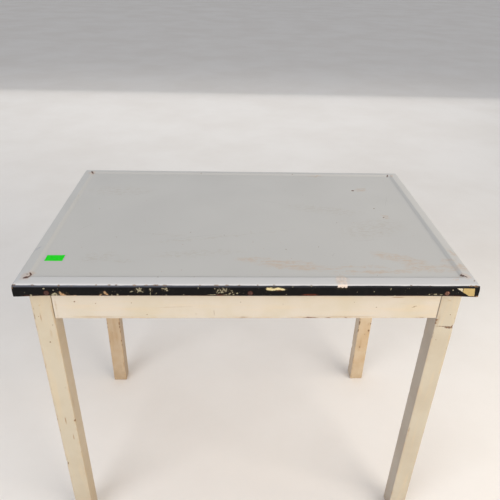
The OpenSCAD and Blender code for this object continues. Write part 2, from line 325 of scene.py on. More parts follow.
# Chips through the black to the pale ground coat
SKIRT_PALE = [
    (-397.4, -9.4, 1.8, 1.4, 0), (-423.6, -25, 1.6, 2.2, 0),
    (-381.5, -23.5, 3.6, 2.6, 30), (-377, -21, 3.2, 2, -30), (-374.5, -25, 2.4, 1.8, 0),
    (-269, -24.5, 0.9, 1.4, 0), (-258, -23.5, 1.5, 2.6, 20), (-238, -25.4, 1, 1, 0),
    (-231, -16, 3.6, 1, 18),
    (-216, -13, 3.4, 3, 0), (-219.5, -10.5, 3.2, 0.9, -40), (-212.5, -9.8, 3, 0.9, 55),
    (-211.5, -15.6, 3.4, 1, -35), (-218.5, -17, 3, 0.9, 60), (-215, -8.8, 1, 2.2, 0),
    (-194.5, -10.2, 2, 1.5, 0), (-194.2, -13.4, 0.8, 1.8, 0), (-194.4, -21.5, 0.6, 4.2, 0),
    (-182.6, -19.6, 0.8, 1.1, 0), (-170, -8.8, 3.2, 1.1, -14), (-164, -9.4, 3, 2, 40),
    (-162, -13, 1.6, 2, 0), (-164, -24, 0.8, 0.7, 0), (-380, -13, 0.9, 0.9, 0),
    (-101.3, -7.6, 0.9, 1.5, 0), (-69.5, -9, 0.9, 0.9, 0), (-64, -14.5, 1, 5, -22),
    (-61.5, -18.6, 2.6, 1.2, 60), (-58, -13.2, 0.9, 5.6, 28), (-54, -14, 1, 5.8, -24),
    (-51, -11.6, 1.1, 5.2, 32), (-47.2, -12.4, 1, 4.4, -12), (-55.5, -18, 3.2, 1, 10),
    (-40.5, -20.5, 2.6, 1.3, 40), (-36.6, -14, 1.8, 0.9, 0), (-35, -17.6, 0.9, 1.6, 0),
    (-25.7, -20, 1.7, 1.5, 0), (-75, -23.2, 9, 0.7, 0), (-46, -23.6, 7, 0.6, 0),
    (-33, -22.6, 1.6, 1.2, 30),
    (278.3, -9.2, 0.8, 2.6, 0), (245.7, -15.6, 0.9, 0.8, 0), (288.7, -25.4, 2.2, 1, 0),
    (358, -22.4, 2, 0.8, 0), (370, -21.8, 3, 1.3, 0), (382, -22.6, 2.6, 0.9, 0),
    (404, -12, 1.4, 1.4, 0), (83, -4.6, 0.9, 0.9, 0), (119, -3.4, 0.9, 0.9, 0),
    (212, -16.6, 0.8, 0.8, 0), (71, -22.4, 0.8, 0.8, 0), (-130, -23, 0.9, 0.7, 0),
]
# Chips where the ground coat has yellowed
SKIRT_YELLOW = [
    (35.5, -9.6, 4.6, 3.2, -10), (45, -10.8, 8, 2.4, 4), (54, -9.2, 7, 3, 0),
    (62.5, -10.4, 6.2, 2, -8), (40.5, -7.4, 3, 1.4, 0),
]
# Chips with an orange, rust-stained ground
SKIRT_ORANGE = [
    (-367.5, -19, 2, 3.2, 20), (-364, -23.4, 5.4, 3, -18), (-360, -25.6, 3.6, 1.6, 0),
    (-291.5, -24.4, 3.4, 1.3, 45), (-282, -18.8, 2.4, 3.6, 25), (-278.5, -22.6, 3.2, 1.8, -40),
    (-340, -25.6, 3.4, 0.9, 0), (455.5, -26, 3, 1, 0),
]
# Plain rust on the skirt
SKIRT_RUST = [
    (118, -24.2, 13.5, 2.6, 0), (109, -24, 4, 2.2, 0), (126, -23.6, 5, 2.4, 0),
    (-60, -24.6, 6, 1.5, 0), (58, -12.9, 5, 1, 6),
]
# Scuffed, brownish areas round the larger groups of chips
SKIRT_WEAR = [
    (-216, -13, 9, 6, 0), (-54, -14, 15, 7, 0), (-378, -23, 9, 4, 0),
    (-361, -22, 9, 5, 0), (-284, -21, 8, 5.5, 0), (-193, -12, 4, 4.5, 0),
    (-165, -11, 7, 4.5, 0), (50, -10, 20, 4.6, 0),
    (-37, -17, 6, 5, 0), (370, -22, 16, 3, 0), (182, -7, 12, 3.4, 0),
]
# Nicks along the arris, where the white meets the black
ARRIS_NICKS = [
    (-417.6, -1.6, 3.4, 1.3, 0), (-368, -2.6, 2.8, 2.2, 20), (-344, -3, 2, 1, 0),
    (-297, -1.6, 2.2, 1.2, 0), (-272, -1.4, 3.6, 1.6, 0), (-259, -1.6, 3, 1.2, 0),
    (-224, -1.8, 5, 1.7, 0), (-201, -1.6, 4, 1.2, 0), (-183, -1.4, 6.5, 1.7, 0),
    (-166, -2, 5, 1.6, 0), (-98, -1.6, 2.4, 1, 0), (-66, -1.8, 6, 1.4, 0),
    (-46, -1.4, 5, 1.4, 0), (-22, -1.6, 4, 1, 0), (14, -1.2, 2.6, 1.2, 0),
    (46, -0.6, 2.8, 1.6, 0), (119, -1.4, 2.2, 1.2, 0), (318, -1.4, 3.2, 1.3, 0),
    (-452.5, -0.6, 4.6, 2.6, 0), (-456, -7, 1.2, 3.6, 0), (356, -2, 2.8, 1.2, 0), (438, -2.2, 5, 2, 0),
    (449, -2.6, 6, 2.6, 0),
]

# The straight-edged patch that has flaked off at the right end of the front skirt
PATCH_LEFT = 410.7
PATCH_RIGHT = 446.5
PATCH_HIGH = -7.3
PATCH_LOW = -26.2
PATCH_CRACK = 424.3

WHITE = srgb(194, 192, 187)
GREY_WEAR = srgb(187, 185, 181)
RIM_HIGHLIGHT = srgb(200, 199, 198)
PAINTED_SHEEN = srgb(98, 101, 112)
BLACK = srgb(11, 10, 10)
RUST_DARK = srgb(44, 24, 17)
RUST_RED = srgb(104, 52, 33)
RUST_STAIN = srgb(166, 124, 98)
GROUND_PALE = srgb(174, 166, 138)
GROUND_YELLOW = srgb(208, 190, 140)
GROUND_ORANGE = srgb(158, 118, 82)
PAINT_SMEAR = srgb(226, 208, 192)


def near_front(s, y, start, full, low=0.0, high=1.0):
    """Ramp towards the front edge: low up to start, high from full, in millimetres from it."""
    return s.step(y, -HALF_D + start * MM, -HALF_D + full * MM, low, high)


def torn_patch(s, x, z):
    """Mask of the flaked patch: a slanted lower left edge and a leaning right one."""
    slope = (PATCH_LOW - PATCH_HIGH) / (PATCH_RIGHT - 6.5 - PATCH_LEFT)
    line = s.times(s.math("SUBTRACT", x, PATCH_LEFT * MM), slope)
    above = s.math("SUBTRACT", z, s.plus(line, PATCH_HIGH * MM))
    mask = s.step(z, PATCH_HIGH * MM, (PATCH_HIGH - 0.5) * MM)
    mask = s.times(mask, s.step(above, -0.2 * MM, 0.3 * MM))
    leaning = s.plus(x, s.times(z, 0.14))
    mask = s.times(mask, s.step(leaning, PATCH_RIGHT * MM, (PATCH_RIGHT - 0.6) * MM))
    return s.times(mask, s.step(z, PATCH_LOW * MM, (PATCH_LOW + 0.5) * MM))


def white_coat(s):
    """White enamel: faint clouding and fine grime, a painted highlight that lightens the rim towards the
    front, and a line of painted shade where the rim meets the panel. Returns its colour and roughness."""
    x, y, _ = s.split(s.place)
    to_end = s.math("SUBTRACT", HALF_W, s.math("ABSOLUTE", x))
    to_side = s.math("SUBTRACT", HALF_D, s.math("ABSOLUTE", y))
    edge = s.math("MINIMUM", to_end, to_side)
    cloud = s.noise(s.place, 5.5, 2, 0.5)
    grain = s.noise(s.place, 260, 3, 0.7)
    color = s.blend(s.step(cloud, 0.35, 0.7, 0.0, 0.32), WHITE, GREY_WEAR)
    # Painted highlight: the rim is made lighter and cooler towards the front edge
    clean = s.times(s.step(edge, 27 * MM, 20 * MM), near_front(s, y, 60, 20, 0.0, 0.75))
    color = s.blend(clean, color, RIM_HIGHLIGHT)
    color = s.blend(s.step(grain, 0.58, 0.76, 0.0, 0.08), color, srgb(168, 164, 158))
    # Painted shade: a dark line at the foot of the rim's inner slope, strongest towards the front
    groove_shade = s.step(s.gap(edge, RIM_W + SLOPE_W - 1.5 * MM), 3.0 * MM, 0.6 * MM)
    groove_shade = s.times(groove_shade, s.step(s.noise(s.place, 24, 3), 0.3, 0.65, 0.1, 0.34))
    groove_shade = s.times(groove_shade, near_front(s, y, 60, 30, 0.15))
    color = s.blend(groove_shade, color, srgb(132, 126, 116))
    rubbed = s.step(s.noise(s.place, 9, 2, 0.5), 0.35, 0.7, 0.29, 0.39)
    return color, rubbed


def enamel_relief(s, chips, pitting):
    """The sheet's slow waves, the glaze's fine ripple, and the chips with their pitted floors."""
    normal = s.bump(s.noise(s.place, 7, 2, 0.5), 0.4 * MM)
    normal = s.bump(s.noise(s.place, 150, 2, 0.5), 0.002 * MM, normal)
    pits = s.math("MULTIPLY_ADD", pitting, 0.5, 1.0)
    return s.bump(s.times(chips, pits), -0.28 * MM, normal)


def paint_smear(s, x, y, below):
    """Mask of the pale paint that runs over the front edge and drips on the black: broken and
    thin on the white, thick where it hangs from the edge in three lobes."""
    wobble = s.noise(s.join(s.times(x, 150), 0.0), 1.0, 2)
    low = s.math("MULTIPLY_ADD", wobble, 9.0 * MM, -10.4 * MM)
    fade = 1.4
    mask = s.step(x, SMEAR_LEFT * MM, (SMEAR_LEFT + fade) * MM)
    mask = s.times(mask, s.step(x, SMEAR_RIGHT * MM, (SMEAR_RIGHT - fade) * MM))
    mask = s.times(mask, s.step(s.math("SUBTRACT", below, low), -0.3 * MM, 0.3 * MM))
    broken = s.step(s.noise(s.stretch(s.place, (1, 0.3, 1)), 190, 3), 0.42, 0.6, 0.1, 0.6)
    thick = s.step(below, 0.6 * MM, -1.2 * MM)
    mask = s.times(mask, s.mixed(thick, broken, 1.0))
    return s.times(mask, near_front(s, y, 34, 26))


def enamel_top_material():
    """The white coat on the panel and rim, with its stains, scratches and rusted corners."""
    s = Shader("white_vitreous_enamel")
    _, y, z = s.split(s.place)
    fine = s.ragged(420, 0.6)
    coarse = s.ragged(75, 0.5)
    near = s.vector("ADD", s.stretch(fine, (0.0022,) * 3), s.stretch(coarse, (0.0045,) * 3))
    chip_plane = s.split(s.vector("ADD", s.place, near))[:2]
    smear_plane = s.split(s.vector("ADD", s.place, s.stretch(coarse, (0.024,) * 3)))[:2]
    color, rubbed = white_coat(s)

    streaks = s.noise(s.stretch(s.place, (16, 90, 16)), 1.6, 3, 0.7)
    blotch = s.noise(s.stretch(s.place, (0.6, 1.4, 1)), 120, 4, 0.7)
    patchy = s.times(s.step(streaks, 0.3, 0.58), s.step(blotch, 0.4, 0.58, 0.25, 1.0))
    stain = s.times(s.blots(smear_plane, TOP_STAINS, 0.6), patchy)
    color = s.over(color, stain, 0.55, srgb(196, 170, 144))
    smudge = s.times(s.blots(smear_plane, TOP_SMUDGES, 0.8), s.step(blotch, 0.45, 0.62))
    color = s.over(color, smudge, 0.3, srgb(172, 160, 142))
    corner_stain = s.blots(smear_plane, CORNER_STAIN, 0.6)
    color = s.over(color, corner_stain, 0.42, srgb(198, 170, 146))
    scratch = s.blots(chip_plane, TOP_SCRATCHES, 0.4)
    color = s.over(color, scratch, 0.35, srgb(150, 144, 138))
    tick = s.blots(chip_plane, PEN_TICK, 0.4)
    color = s.over(color, tick, 0.75, srgb(92, 98, 140))
    fleck = s.times(s.step(s.cells(s.place, 44), 0.07, 0.03), s.step(s.noise(s.place, 9, 2), 0.48, 0.56))
    color = s.over(color, fleck, 0.55, RUST_STAIN)
    smear = paint_smear(s, chip_plane[0], y, s.math("SUBTRACT", z, EDGE_Z))
    color = s.over(color, smear, 0.85, PAINT_SMEAR)

    spot_reach = s.reach(chip_plane, TOP_SPOTS)
    color = s.blend(s.step(spot_reach, 6.0, 1.0, 0.0, 0.3), color, srgb(216, 200, 180))
    rust_noise = s.noise(s.place, 700, 3, 0.7)
    rust = s.blend(s.step(rust_noise, 0.38, 0.66), RUST_DARK, RUST_RED)
    chips = s.most([s.step(spot_reach, 1.6, 0.6), s.blots(chip_plane, CORNER_RUST, 0.3)])
    color = s.over(color, chips, 0.95, rust)

    normal = enamel_relief(s, chips, rust_noise)
    gloss = s.mixed(s.most([chips, s.times(stain, 0.7), smear]), rubbed, 0.72)
    return s.finish(color, gloss, normal)


def enamel_skirt_material():
    """The roll and the skirt: white turning to black, chipped to the ground coat or the steel."""
    s = Shader("black_vitreous_enamel")
    x, y, z = s.split(s.place)
    below = s.math("SUBTRACT", z, EDGE_Z)
    kx, ky, kz = s.split(s.vector("ADD", s.place, s.stretch(s.ragged(420, 0.6), (0.0026,) * 3)))
    depth = s.math("SUBTRACT", kz, EDGE_Z)
    front = near_front(s, y, 12, 8)
    flaky = s.step(s.noise(s.place, 800, 2, 0.6), 0.3, 0.7, 0.55, 1.9)
    on_front = s.times(front, s.step(below, -0.5 * MM, -2.5 * MM))
    off_front = s.math("SUBTRACT", 1.0, front)
    speckle = s.noise(s.place, 520, 3, 0.7)

    def flaked(marks, outer, inner):
        return s.step(s.times(s.reach((kx, depth), marks), flaky), outer, inner)

    # The border between the coats wavers along the roll
    white, rubbed = white_coat(s)
    border = s.math("MULTIPLY_ADD", s.noise(s.place, 30, 2), 1.6 * MM, -2.7 * MM)
    border = s.plus(border, s.step(x, -HALF_W + 8 * MM, -HALF_W + 5 * MM, 0.0, 0.6 * MM))
    black_share = s.step(s.math("SUBTRACT", below, border), 0.5 * MM, -0.5 * MM)
    black = s.blend(s.step(s.noise(s.place, 90, 3, 0.7), 0.45, 0.75, 0.0, 0.5), BLACK, srgb(27, 24, 23))
    # Painted reflection: a grey-blue sheen along the top of the black skirt, strongest towards the left end
    painted_sheen = s.times(s.step(below, -7.5 * MM, -3.5 * MM), s.step(x, 0.25, -0.35, 0.12, 0.7))
    color = s.blend(black_share, white, s.blend(painted_sheen, black, PAINTED_SHEEN))
    smear = paint_smear(s, kx, y, below)
    color = s.over(color, smear, 0.85, PAINT_SMEAR)

    # Nicks along the arris
    runs = s.join(s.times(s.plus(x, y), 60), s.times(s.math("SUBTRACT", x, y), 60))
    band = s.times(s.step(below, -4.6 * MM, -2.4 * MM), s.step(below, 0.4 * MM, -1.0 * MM))
    other = s.times(s.times(s.step(s.noise(runs, 1.0, 3, 0.65), 0.61, 0.66), band), off_front)
    nicks = flaked(ARRIS_NICKS, 1.0, 0.4)
    nicks = s.most([s.times(nicks, front), other])
    rust = s.blend(s.step(speckle, 0.36, 0.6), RUST_DARK, srgb(146, 112, 76))
    color = s.over(color, nicks, 0.7, rust)

    # Chips: listed one by one in front, scattered on the sides out of view
    skirt_rust = s.times(s.blots((kx, depth), SKIRT_RUST, 0.5), on_front)
    color = s.blend(s.times(skirt_rust, s.step(speckle, 0.35, 0.6, 0.35, 0.9)), color, srgb(94, 46, 31))
    scuff = s.times(s.blots((kx, depth), SKIRT_WEAR, 0.5), on_front)
    scuff = s.times(scuff, s.step(s.noise(s.place, 620, 3, 0.7), 0.54, 0.6, 0.0, 0.62))
    color = s.blend(scuff, color, srgb(112, 98, 72))
    hem = s.times(s.step(below, -23.5 * MM, -25.5 * MM), s.step(s.noise(s.place, 40, 3, 0.6), 0.42, 0.62))
    color = s.over(color, hem, 0.75, srgb(74, 44, 32))
    scatter = s.step(s.cells(s.stretch(s.place, (1, 1, 0.7)), 30), 0.16, 0.09)
    scatter = s.times(scatter, s.step(s.noise(s.place, 13, 2), 0.55, 0.62))
    scatter = s.times(s.times(scatter, off_front), s.step(below, -3 * MM, -5 * MM))
    flakes = flaked(SKIRT_PALE, 1.5, 0.7)
    dots = s.step(s.cells(s.stretch(s.place, (1, 1, 1.3)), 150), 0.16, 0.08)
    dots = s.times(dots, s.step(s.noise(s.place, 26, 2), 0.53, 0.6, 0.0, 0.45))
    pale = s.most([s.times(s.most([flakes, dots]), on_front), scatter])
    color = s.blend(pale, color, s.blend(s.step(speckle, 0.4, 0.6), GROUND_PALE, srgb(112, 100, 78)))
    orange = s.times(flaked(SKIRT_ORANGE, 1.6, 0.6), on_front)
    color = s.blend(orange, color, s.blend(s.step(speckle, 0.42, 0.64), GROUND_ORANGE, srgb(184, 156, 122)))
    yellow = s.times(flaked(SKIRT_YELLOW, 1.5, 0.7), on_front)
    color = s.blend(yellow, color, s.blend(s.step(speckle, 0.5, 0.7), GROUND_YELLOW, srgb(214, 206, 182)))
    patch = s.times(torn_patch(s, kx, depth), on_front)
    right_part = s.step(x, (PATCH_CRACK - 1.5) * MM, (PATCH_CRACK + 0.3) * MM)
    patch_color = s.blend(right_part, srgb(200, 190, 164), srgb(180, 156, 104))
    patch_color = s.blend(s.step(speckle, 0.46, 0.7, 0.0, 0.6), patch_color, srgb(160, 132, 84))
    color = s.blend(patch, color, patch_color)
    crack = s.step(s.gap(kx, PATCH_CRACK * MM), 0.9 * MM, 0.4 * MM)
    crack = s.times(s.times(crack, patch), s.step(below, -15.5 * MM, -14 * MM))
    color = s.blend(crack, color, srgb(30, 26, 24))

    # Rust bleeding out round each screw hole
    around_long = s.step(s.math("ABSOLUTE", y), HALF_D - 6 * MM, HALF_D - 4 * MM)
    around_short = s.step(s.math("ABSOLUTE", x), HALF_W - 6 * MM, HALF_W - 4 * MM)
    bleed = s.times(s.blots((kx, depth), screw_rust(SKIRT_SCREW_X), 0.2), around_long)
    bleed = s.most([bleed, s.times(s.blots((ky, depth), screw_rust(SIDE_SCREW_Y), 0.2), around_short)])
    rust = s.blend(s.step(speckle, 0.4, 0.62), RUST_DARK, srgb(82, 42, 30))
    color = s.over(color, bleed, 0.8, rust)

    chips = s.most([nicks, pale, yellow, orange, patch])
    normal = enamel_relief(s, chips, speckle)
    dull = s.step(s.noise(s.place, 60, 3), 0.3, 0.7, 0.29, 0.42)
    gloss = s.mixed(black_share, rubbed, dull)
    gloss = s.mixed(s.most([chips, bleed, smear, skirt_rust]), gloss, 0.72)
    return s.finish(color, gloss, normal, specular=s.mixed(black_share, 0.5, 0.09))


def screw_rust(places):
    """Marks round the screws at these places along a skirt, each with a run below it."""
    low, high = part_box("skirt_screws_front")
    height = ((low.z + high.z) / 2 - EDGE_Z) / MM
    rings = [(place, height, 5.4, 5.4, 0) for place in places]
    return rings + [(place, height - 4.6, 3.0, 3.6, 0) for place in places]


# ---- Paint and wood ----


def along(axis, share):
    """Scale that draws a pattern out along an axis."""
    return tuple(share if letter == axis else 1 for letter in "XYZ")


def cream_paint(name, grain_axis, tone, yellow, seed, wear=1.0, face_y=0.0, marks=(), tans=(),
                inner=None):
    """Old cream oil paint on softwood: brush marks along the grain, grime, painted shade on a leg's face
    under the table, and chipped arrises.
    """
    s = Shader(name)
    place = s.vector("ADD", s.place, (seed * 1.37, seed * 0.71, seed * 0.43))
    x, y, z = s.split(s.place)
    drawn = s.stretch(place, along(grain_axis, 0.10))
    far_drawn = s.stretch(place, along(grain_axis, 0.03))
    brush = s.noise(far_drawn, 900, 3, 0.6)
    streak = s.noise(drawn, 60, 3, 0.6)
    patchy = s.noise(place, 9, 4, 0.6)
    dust = s.noise(place, 330, 3, 0.7)
    color = s.blend(s.step(patchy, 0.35, 0.68), tone, yellow)
    color = s.blend(s.step(streak, 0.5, 0.72, 0.0, 0.22), color, srgb(214, 186, 142))
    color = s.blend(s.step(dust, 0.56, 0.72, 0.0, 0.3), color, srgb(198, 172, 134))

    # Pin spots and knocks that show the wood
    spots = s.times(s.step(s.cells(drawn, 62), 0.12, 0.05), s.step(s.noise(place, 15, 2), 0.42, 0.52))
    knocks = s.times(s.step(s.cells(place, 24), 0.09, 0.055), s.step(s.noise(place, 6.5, 2), 0.56, 0.62))
    color = s.over(color, spots, 0.7, srgb(150, 108, 68))

    # Worn arrises: the mesh marks how near a point is to one
    near = s.node("ShaderNodeAttribute", attribute_name="arris").outputs["Fac"]
    bite = s.noise(drawn, 210, 3, 0.7)
    worn = s.times(s.step(near, 0.35, 0.9), s.step(bite, 0.66 - 0.075 * wear, 0.735 - 0.075 * wear))
    rubbed = s.times(s.step(near, 0.2, 1.0), s.step(s.noise(place, 40, 3, 0.7), 0.42, 0.66))
    color = s.over(color, rubbed, 0.35, srgb(190, 156, 114))
    dent = s.node("ShaderNodeAttribute", attribute_name="dent").outputs["Fac"]
    bare = s.most([worn, s.times(knocks, 0.5 * wear), s.step(dent, 0.35, 0.7)])
    if marks or tans:
        mx, _, mz = s.split(s.vector("ADD", s.place, s.stretch(s.ragged(420, 0.6), (0.003,) * 3)))
        front = s.step(y, face_y + 3 * MM, face_y + 1.5 * MM)
        plane = (mx, s.math("SUBTRACT", mz, EDGE_Z))
    if tans:
        tan = s.times(s.blots(plane, tans, 0.8), front)
        color = s.blend(s.times(tan, s.step(streak, 0.4, 0.62, 0.0, 0.4)), color, srgb(160, 126, 86))
    if marks:
        bare = s.most([bare, s.times(s.blots(plane, marks, 0.35), front)])
    fibre = s.step(s.noise(far_drawn, 500, 2), 0.4, 0.6)
    raw = s.blend(fibre, srgb(84, 52, 32), srgb(132, 92, 58))
    color = s.over(color, bare, 0.85, raw)

    # Painted shade: the leg's face that looks in under the table is darkened
    if inner:
        face_x, share, shade_tone = inner
        shaded_face = s.step(s.gap(x, face_x), 1.2 * MM, 0.5 * MM)
        color = s.blend(s.times(shaded_face, share), color, shade_tone)

    # Grime in the lowest and the most handled places
    grime = s.times(s.step(z, 0.12, 0.0), s.step(s.noise(place, 26, 4, 0.7), 0.3, 0.7))
    color = s.over(color, grime, 0.5, srgb(150, 124, 92))

    normal = s.bump(brush, 0.10 * MM)
    normal = s.bump(s.noise(drawn, 34, 3), 0.5 * MM, normal)
    normal = s.bump(s.plus(bare, s.times(spots, 0.5)), -0.35 * MM, normal)
    gloss = s.step(patchy, 0.3, 0.7, 0.36, 0.5)
    gloss = s.mixed(bare, gloss, 0.85)
    return s.finish(color, gloss, normal)


def bare_wood(name, grain_axis, seed):
    """Unpainted softwood, browned with age: growth rings, pores and a few dark knots."""
    s = Shader(name)
    place = s.vector("ADD", s.place, (seed * 0.91, seed * 1.53, seed * 0.27))
    long_grain = along(grain_axis, 0.035)
    drawn = s.stretch(place, along(grain_axis, 0.15))
    bend = s.stretch(s.noise(drawn, 7, 2, 0.5, color=True), (0.03,) * 3)
    rings = s.noise(s.stretch(s.vector("ADD", place, bend), long_grain), 130, 3, 0.55)
    fibre = s.noise(s.stretch(place, long_grain), 1400, 2, 0.6)
    color = s.blend(s.step(rings, 0.38, 0.64), srgb(196, 156, 106), srgb(150, 106, 64))
    color = s.blend(s.step(fibre, 0.5, 0.75, 0.0, 0.45), color, srgb(104, 70, 42))
    knot = s.step(s.cells(drawn, 7), 0.10, 0.03)
    color = s.over(color, knot, 0.75, srgb(76, 46, 28))
    aged = s.step(s.noise(place, 4, 4, 0.6), 0.35, 0.7)
    color = s.over(color, aged, 0.45, srgb(120, 88, 58))
    normal = s.bump(s.plus(rings, s.times(fibre, 0.6)), 0.35 * MM)
    return s.finish(color, s.step(fibre, 0.3, 0.7, 0.62, 0.85), normal)


def old_steel(name, clean, rusted, rust_share):
    """Screw steel, from dull and oxidised to rusted through. The right-hand ones are less eaten."""
    s = Shader(name)
    x = s.split(s.place)[0]
    coarse = s.noise(s.place, 900, 4, 0.7)
    fine = s.noise(s.place, 3000, 3, 0.7)
    low = s.step(x, 0.25, 0.35, 0.72 - 0.4 * rust_share, 0.72 - 0.22 * rust_share)
    eaten = s.step(s.math("SUBTRACT", coarse, low), 0.0, 0.1)
    color = s.blend(eaten, clean, s.blend(s.step(fine, 0.4, 0.62), rusted, RUST_DARK))
    normal = s.bump(s.plus(coarse, s.times(fine, 0.5)), 0.25 * MM)
    shine = s.mixed(eaten, 0.6, 0.05)
    return s.finish(color, s.mixed(eaten, 0.45, 0.82), normal, metallic=shine)


def sticker_paper():
    """Coated green paper: mottled ink, scuffed and paler along its cut edges."""
    s = Shader("green_label_paper")
    mottle = s.noise(s.place, 240, 3, 0.6)
    color = s.blend(s.step(mottle, 0.35, 0.7), srgb(0, 226, 10), srgb(0, 208, 8))
    near = s.node("ShaderNodeAttribute", attribute_name="arris").outputs["Fac"]
    scuff = s.times(s.step(near, 0.5, 1.0), s.step(s.noise(s.place, 900, 2), 0.45, 0.6))
    color = s.over(color, scuff, 0.5, srgb(178, 222, 170))
    fibres = s.noise(s.stretch(s.place, (1, 0.3, 1)), 2600, 2, 0.6)
    normal = s.bump(fibres, 0.03 * MM)
    return s.finish(color, s.step(mottle, 0.3, 0.7, 0.5, 0.62), normal, specular=0.18)


def floor_material():
    """Pale, slightly mottled floor."""
    s = Shader("pale_floor")
    mottle = s.noise(s.place, 1.4, 5, 0.6)
    speck = s.noise(s.place, 90, 3, 0.7)
    color = s.blend(s.step(mottle, 0.3, 0.7), srgb(240, 236, 231), srgb(234, 229, 223))
    color = s.blend(s.step(speck, 0.6, 0.8, 0.0, 0.15), color, srgb(214, 208, 200))
    return s.finish(color, s.step(mottle, 0.3, 0.7, 0.65, 0.8), s.bump(speck, 0.3 * MM))


# ---- The enamel top ----

LONG_STEPS = 96
SHORT_STEPS = 64
SIDE_STEPS = [SHORT_STEPS, LONG_STEPS, SHORT_STEPS, LONG_STEPS]
CORNER_STEPS = 6
# Strips of the sheet's section, counted from the panel, that take the white material
WHITE_STRIPS = 13


def ring(inset, z, radius):
    """Points round a rounded rectangle, moved in by inset from the top's outer edge."""
    half_w, half_d = HALF_W - inset, HALF_D - inset
    r = max(radius, 0.3 * MM)
    corners = [(1, -1, -90), (1, 1, 0), (-1, 1, 90), (-1, -1, 180)]
    points = []
    arcs = []
    for sx, sy, start in corners:
        middle = Vector((sx * (half_w - r), sy * (half_d - r), z))
        arc = []
        for i in range(CORNER_STEPS + 1):
            angle = math.radians(start + 90 * i / CORNER_STEPS)
            arc.append(middle + Vector((math.cos(angle), math.sin(angle), 0)) * r)
        arcs.append(arc)
    for i, arc in enumerate(arcs):
        points.extend(arc)
        nearest = arcs[(i + 1) % 4][0]
        for k in range(1, SIDE_STEPS[i]):
            points.append(arc[-1].lerp(nearest, k / SIDE_STEPS[i]))
    return points


def arc_points(cx, cz, r, start, end, steps):
    """Section points on an arc; angles in degrees from the inward direction, upward positive."""
    found = []
    for i in range(steps + 1):
        angle = math.radians(start + (end - start) * i / steps)
        found.append((cx + r * math.cos(angle), cz + r * math.sin(angle)))
    return found


def soften(before, corner, after, reach):
    """Rounds a section's corner with a short curve that starts and ends reach away from it."""
    steps = 4
    a = Vector(corner) + (Vector(before) - Vector(corner)).normalized() * reach
    b = Vector(corner) + (Vector(after) - Vector(corner)).normalized() * reach
    found = []
    for i in range(steps + 1):
        t = i / steps
        point = a.lerp(Vector(corner), t).lerp(Vector(corner).lerp(b, t), t)
        found.append((point.x, point.y))
    return found


def sheet_face(inset):
    """Section of one face of the sheet, from the panel's edge out to the curl: (inward, height)."""
    rise = math.atan(RIM_RISE / RIM_W)
    fall = math.atan(RIM_RISE / SLOPE_W)
    roll = ROLL_R - inset
    curl = CURL_R - inset
    foot = (RIM_W + SLOPE_W - (inset / math.cos(fall) - inset) / math.tan(fall), PANEL_Z - inset)
    shoulder_z = EDGE_Z - inset / math.cos(rise)
    crest_x = RIM_W + inset * (1 / math.cos(rise) - 1 / math.cos(fall)) / (math.tan(rise) + math.tan(fall))
    crest = (crest_x, shoulder_z + crest_x * math.tan(rise))
    roll_z = EDGE_Z + ROLL_R * math.tan(rise) - ROLL_R / math.cos(rise)
    roll_arc = arc_points(ROLL_R, roll_z, roll, 90 + math.degrees(rise), 180, 8)
    inside = (foot[0] + 10 * MM, foot[1])
    face = soften(inside, foot, crest, 2 * MM)
    face += soften(foot, crest, roll_arc[0], 1.3 * MM)
    face += roll_arc
    low = SKIRT_Z + CURL_R
    rows = 5
    for i in range(1, rows):
        face.append((inset, roll_z + (low - roll_z) * i / rows))
    face += arc_points(CURL_R, low, curl, 180, 270, 4)
    return face


def near_end(value, half, reach):
    """1 at the end of a side, falling smoothly to 0 at reach from it."""
    share = max(0.0, min(1.0, 1 - (half - abs(value)) / reach))
    return share * share * (3 - 2 * share)


def sheet_point(point, panel_share):
    """The pressing's slow unevenness, and the way its folded corners kick outward and hang.
    panel_share is 1 in the open panel and 0 at its edge."""
    x, y, z = point
    depth = max(0.0, min(1.0, (EDGE_Z - 2 * MM - z) / (9 * MM)))
    low = max(0.0, min(1.0, (EDGE_Z - 6 * MM - z) / (18 * MM)))
    bow = SKIRT_WAVE * low * wave(x * 9, y * 9, 3)
    on_end = HALF_W - abs(x) < HALF_D - abs(y)
    end_kick = KICK * depth * near_end(y, HALF_D, 45 * MM)
    long_kick = 0.6 * KICK * depth * near_end(x, HALF_W, 45 * MM)
    moved = Vector((x, y, z))
    corner = abs(x) > HALF_W - 8 * MM and abs(y) > HALF_D - 8 * MM
    if on_end or corner:
        moved.x += math.copysign(end_kick + bow * (not corner), x)
    if not on_end or corner:
        moved.y += math.copysign(long_kick + bow * (not corner), y)
    moved.x = max(CAD_BOX[0].x, min(CAD_BOX[1].x, moved.x))
    moved.y = max(CAD_BOX[0].y, min(CAD_BOX[1].y, moved.y))
    moved.z += HEM_WAVE * low * abs(wave(x * 6 + 3, y * 6, 5))
    moved.z -= DROOP * low * near_end(x, HALF_W, 70 * MM) * near_end(y, HALF_D, 70 * MM)
    moved.z += PANEL_WAVE * panel_share * wave(x * 5, y * 5, 1)
    return moved


